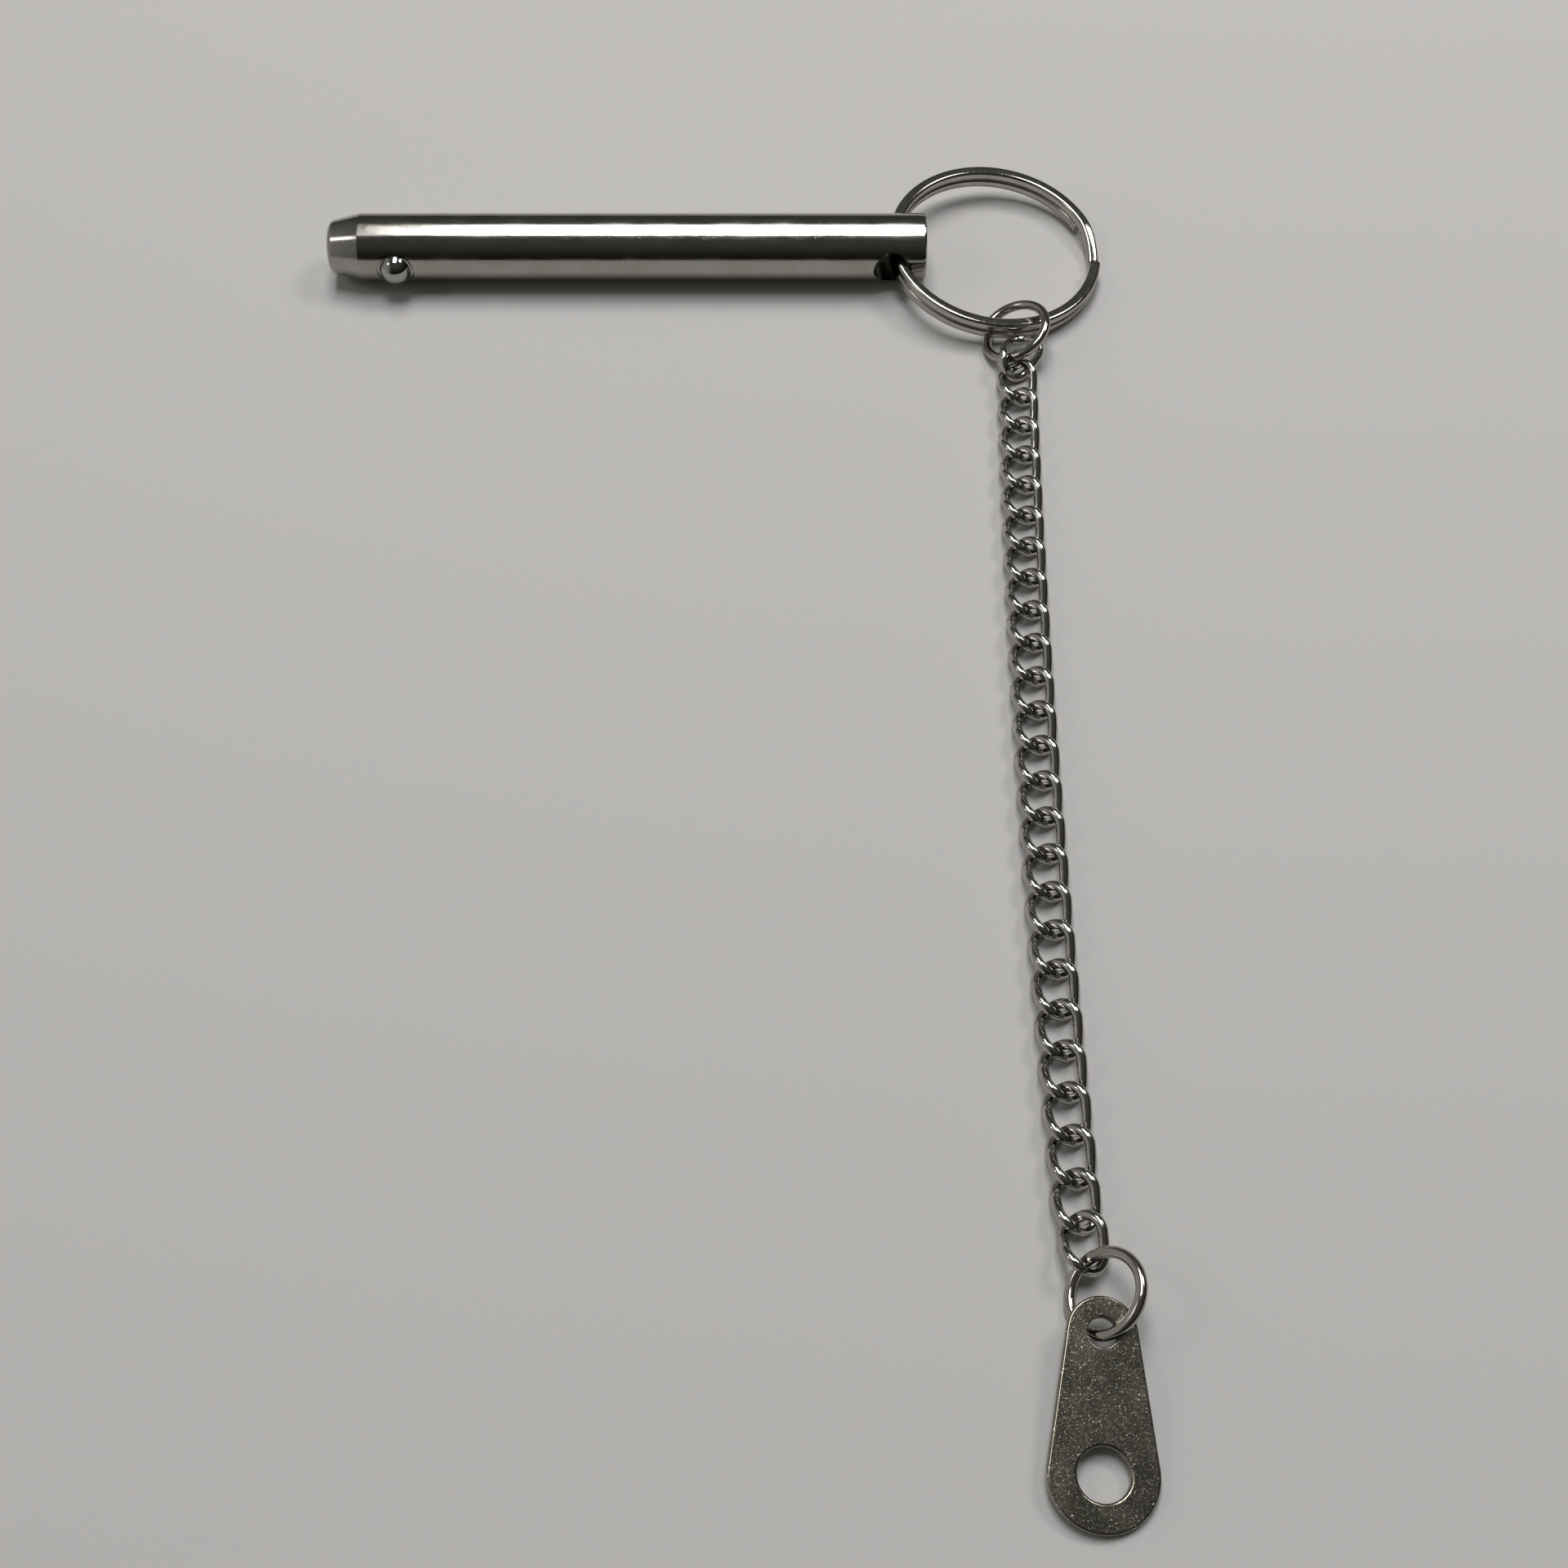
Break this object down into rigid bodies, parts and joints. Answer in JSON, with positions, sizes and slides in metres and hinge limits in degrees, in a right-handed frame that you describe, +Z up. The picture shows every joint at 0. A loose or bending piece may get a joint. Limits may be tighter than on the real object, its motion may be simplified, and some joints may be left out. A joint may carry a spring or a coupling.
{
  "type": "ball detent pin on a keeper chain",
  "caption": "Straight round pin with a conical nose and a spring-loaded detent ball, held by a split ring, a curb chain and a stamped fastening tab.",
  "frame": {"origin": "centre of the pin's tail face, on the pin's axis", "axes": "+X out of the tail face along the pin's axis, the shank and nose lie along -X; +Z up, away from the surface it lies on; the chain runs along -Y"},
  "size_m": [0.1167, 0.2056, 0.01],
  "materials": {
    "pin_steel": "polished stainless steel",
    "ball_steel": "ground and polished bearing steel",
    "spring_steel": "drawn spring wire",
    "ring_nickel": "nickel-plated steel wire",
    "chain_nickel": "nickel-plated steel wire",
    "tab_steel": "stamped stainless steel, tumbled"
  },
  "bodies": {
    "pin": {"pin_body": "pin_steel", "detent_spring": "spring_steel"},
    "detent_ball": {"detent_ball": "ball_steel"},
    "split_ring": {"split_ring": "ring_nickel"},
    "jump_ring_pin": {"jump_ring_pin": "ring_nickel"},
    "link_01": {"link_01": "chain_nickel"},
    "link_02": {"link_02": "chain_nickel"},
    "link_03": {"link_03": "chain_nickel"},
    "link_04": {"link_04": "chain_nickel"},
    "link_05": {"link_05": "chain_nickel"},
    "link_06": {"link_06": "chain_nickel"},
    "link_07": {"link_07": "chain_nickel"},
    "link_08": {"link_08": "chain_nickel"},
    "link_09": {"link_09": "chain_nickel"},
    "link_10": {"link_10": "chain_nickel"},
    "link_11": {"link_11": "chain_nickel"},
    "link_12": {"link_12": "chain_nickel"},
    "link_13": {"link_13": "chain_nickel"},
    "link_14": {"link_14": "chain_nickel"},
    "link_15": {"link_15": "chain_nickel"},
    "link_16": {"link_16": "chain_nickel"},
    "link_17": {"link_17": "chain_nickel"},
    "link_18": {"link_18": "chain_nickel"},
    "link_19": {"link_19": "chain_nickel"},
    "link_20": {"link_20": "chain_nickel"},
    "link_21": {"link_21": "chain_nickel"},
    "link_22": {"link_22": "chain_nickel"},
    "link_23": {"link_23": "chain_nickel"},
    "link_24": {"link_24": "chain_nickel"},
    "link_25": {"link_25": "chain_nickel"},
    "link_26": {"link_26": "chain_nickel"},
    "jump_ring_tab": {"jump_ring_tab": "ring_nickel"},
    "tab": {"tab": "tab_steel"}
  },
  "joints": [
    {"name": "detent_press", "type": "slide", "parent": "pin", "child": "detent_ball", "axis": [0, 1, 0], "range_m": [0, 0.0017], "stiffness_N_per_m": 900, "springref_m": -0.002, "deforming": ["detent_spring"]},
    {"name": "split_ring_swing", "type": "hinge", "parent": "pin", "child": "split_ring", "pos_m": [-0.0051, 0, 0], "axis": [0, 1, 0], "range_deg": [-170, 158]},
    {"name": "jump_ring_pin_swing", "type": "hinge", "parent": "split_ring", "child": "jump_ring_pin", "pos_m": [0.01506, -0.01386, -0.00229], "axis": [0.9505, 0.2955, -0.0959], "range_deg": [-85, 0]},
    {"name": "link_01_swing", "type": "hinge", "parent": "jump_ring_pin", "child": "link_01", "pos_m": [0.01204, -0.02036, -0.00213], "axis": [0.8451, -0.2121, 0.4907], "range_deg": [-80, 15]},
    {"name": "link_02_swing", "type": "hinge", "parent": "link_01", "child": "link_02", "pos_m": [0.01437, -0.02136, -0.00241], "axis": [-0.6912, 0.6834, -0.235], "range_deg": [-60, 0]},
    {"name": "link_03_swing", "type": "hinge", "parent": "link_02", "child": "link_03", "pos_m": [0.0128, -0.02625, -0.00334], "axis": [0.7428, -0.0209, 0.6691], "range_deg": [-50, 50]},
    {"name": "link_04_swing", "type": "hinge", "parent": "link_03", "child": "link_04", "pos_m": [0.0126, -0.03315, -0.00334], "axis": [-0.7428, 0.0209, 0.6691], "range_deg": [-50, 50]},
    {"name": "link_05_swing", "type": "hinge", "parent": "link_04", "child": "link_05", "pos_m": [0.0125, -0.03725, -0.00334], "axis": [-0.7429, 0.0171, -0.6691], "range_deg": [-50, 50]},
    {"name": "link_06_swing", "type": "hinge", "parent": "link_05", "child": "link_06", "pos_m": [0.01234, -0.04415, -0.00334], "axis": [0.7429, -0.0171, -0.6691], "range_deg": [-50, 50]},
    {"name": "link_07_swing", "type": "hinge", "parent": "link_06", "child": "link_07", "pos_m": [0.01226, -0.04825, -0.00334], "axis": [0.743, -0.0133, 0.6691], "range_deg": [-50, 50]},
    {"name": "link_08_swing", "type": "hinge", "parent": "link_07", "child": "link_08", "pos_m": [0.01213, -0.05515, -0.00334], "axis": [-0.743, 0.0133, 0.6691], "range_deg": [-50, 50]},
    {"name": "link_09_swing", "type": "hinge", "parent": "link_08", "child": "link_09", "pos_m": [0.01207, -0.05925, -0.00334], "axis": [-0.7431, 0.0095, -0.6691], "range_deg": [-50, 50]},
    {"name": "link_10_swing", "type": "hinge", "parent": "link_09", "child": "link_10", "pos_m": [0.01198, -0.06615, -0.00334], "axis": [0.7431, -0.0095, -0.6691], "range_deg": [-50, 50]},
    {"name": "link_11_swing", "type": "hinge", "parent": "link_10", "child": "link_11", "pos_m": [0.01194, -0.07025, -0.00334], "axis": [0.7431, -0.0057, 0.6691], "range_deg": [-50, 50]},
    {"name": "link_12_swing", "type": "hinge", "parent": "link_11", "child": "link_12", "pos_m": [0.01189, -0.07715, -0.00334], "axis": [-0.7431, 0.0057, 0.6691], "range_deg": [-50, 50]},
    {"name": "link_13_swing", "type": "hinge", "parent": "link_12", "child": "link_13", "pos_m": [0.01186, -0.08125, -0.00334], "axis": [-0.7431, 0.0019, -0.6691], "range_deg": [-50, 50]},
    {"name": "link_14_swing", "type": "hinge", "parent": "link_13", "child": "link_14", "pos_m": [0.01185, -0.08815, -0.00334], "axis": [0.7431, -0.0019, -0.6691], "range_deg": [-50, 50]},
    {"name": "link_15_swing", "type": "hinge", "parent": "link_14", "child": "link_15", "pos_m": [0.01185, -0.09225, -0.00334], "axis": [0.7431, 0.0019, 0.6691], "range_deg": [-50, 50]},
    {"name": "link_16_swing", "type": "hinge", "parent": "link_15", "child": "link_16", "pos_m": [0.01186, -0.09915, -0.00334], "axis": [-0.7431, -0.0019, 0.6691], "range_deg": [-50, 50]},
    {"name": "link_17_swing", "type": "hinge", "parent": "link_16", "child": "link_17", "pos_m": [0.01189, -0.10325, -0.00334], "axis": [-0.7431, -0.0057, -0.6691], "range_deg": [-50, 50]},
    {"name": "link_18_swing", "type": "hinge", "parent": "link_17", "child": "link_18", "pos_m": [0.01194, -0.11015, -0.00334], "axis": [0.7431, 0.0057, -0.6691], "range_deg": [-50, 50]},
    {"name": "link_19_swing", "type": "hinge", "parent": "link_18", "child": "link_19", "pos_m": [0.01198, -0.11425, -0.00334], "axis": [0.7431, 0.0095, 0.6691], "range_deg": [-50, 50]},
    {"name": "link_20_swing", "type": "hinge", "parent": "link_19", "child": "link_20", "pos_m": [0.01207, -0.12115, -0.00334], "axis": [-0.7431, -0.0095, 0.6691], "range_deg": [-50, 50]},
    {"name": "link_21_swing", "type": "hinge", "parent": "link_20", "child": "link_21", "pos_m": [0.01213, -0.12525, -0.00334], "axis": [-0.743, -0.0133, -0.6691], "range_deg": [-50, 50]},
    {"name": "link_22_swing", "type": "hinge", "parent": "link_21", "child": "link_22", "pos_m": [0.01226, -0.13215, -0.00334], "axis": [0.743, 0.0133, -0.6691], "range_deg": [-50, 50]},
    {"name": "link_23_swing", "type": "hinge", "parent": "link_22", "child": "link_23", "pos_m": [0.01234, -0.13625, -0.00334], "axis": [0.7429, 0.0171, 0.6691], "range_deg": [-50, 50]},
    {"name": "link_24_swing", "type": "hinge", "parent": "link_23", "child": "link_24", "pos_m": [0.0125, -0.14315, -0.00334], "axis": [-0.7429, -0.0171, 0.6691], "range_deg": [-50, 50]},
    {"name": "link_25_swing", "type": "hinge", "parent": "link_24", "child": "link_25", "pos_m": [0.0126, -0.14725, -0.00334], "axis": [-0.7428, -0.0209, -0.6691], "range_deg": [-50, 50]},
    {"name": "link_26_swing", "type": "hinge", "parent": "link_25", "child": "link_26", "pos_m": [0.01221, -0.15295, -0.00372], "axis": [-0.7692, -0.4664, -0.4367], "range_deg": [-40, 80]},
    {"name": "jump_ring_tab_swing", "type": "hinge", "parent": "link_26", "child": "jump_ring_tab", "pos_m": [0.01443, -0.15768, -0.00182], "axis": [0.7639, 0.1595, 0.6253], "range_deg": [-85, 85]},
    {"name": "tab_swing", "type": "hinge", "parent": "jump_ring_tab", "child": "tab", "pos_m": [0.01328, -0.16674, -0.0025], "axis": [0.6451, -0.145, 0.7502], "range_deg": [-28, 85]}
  ]
}
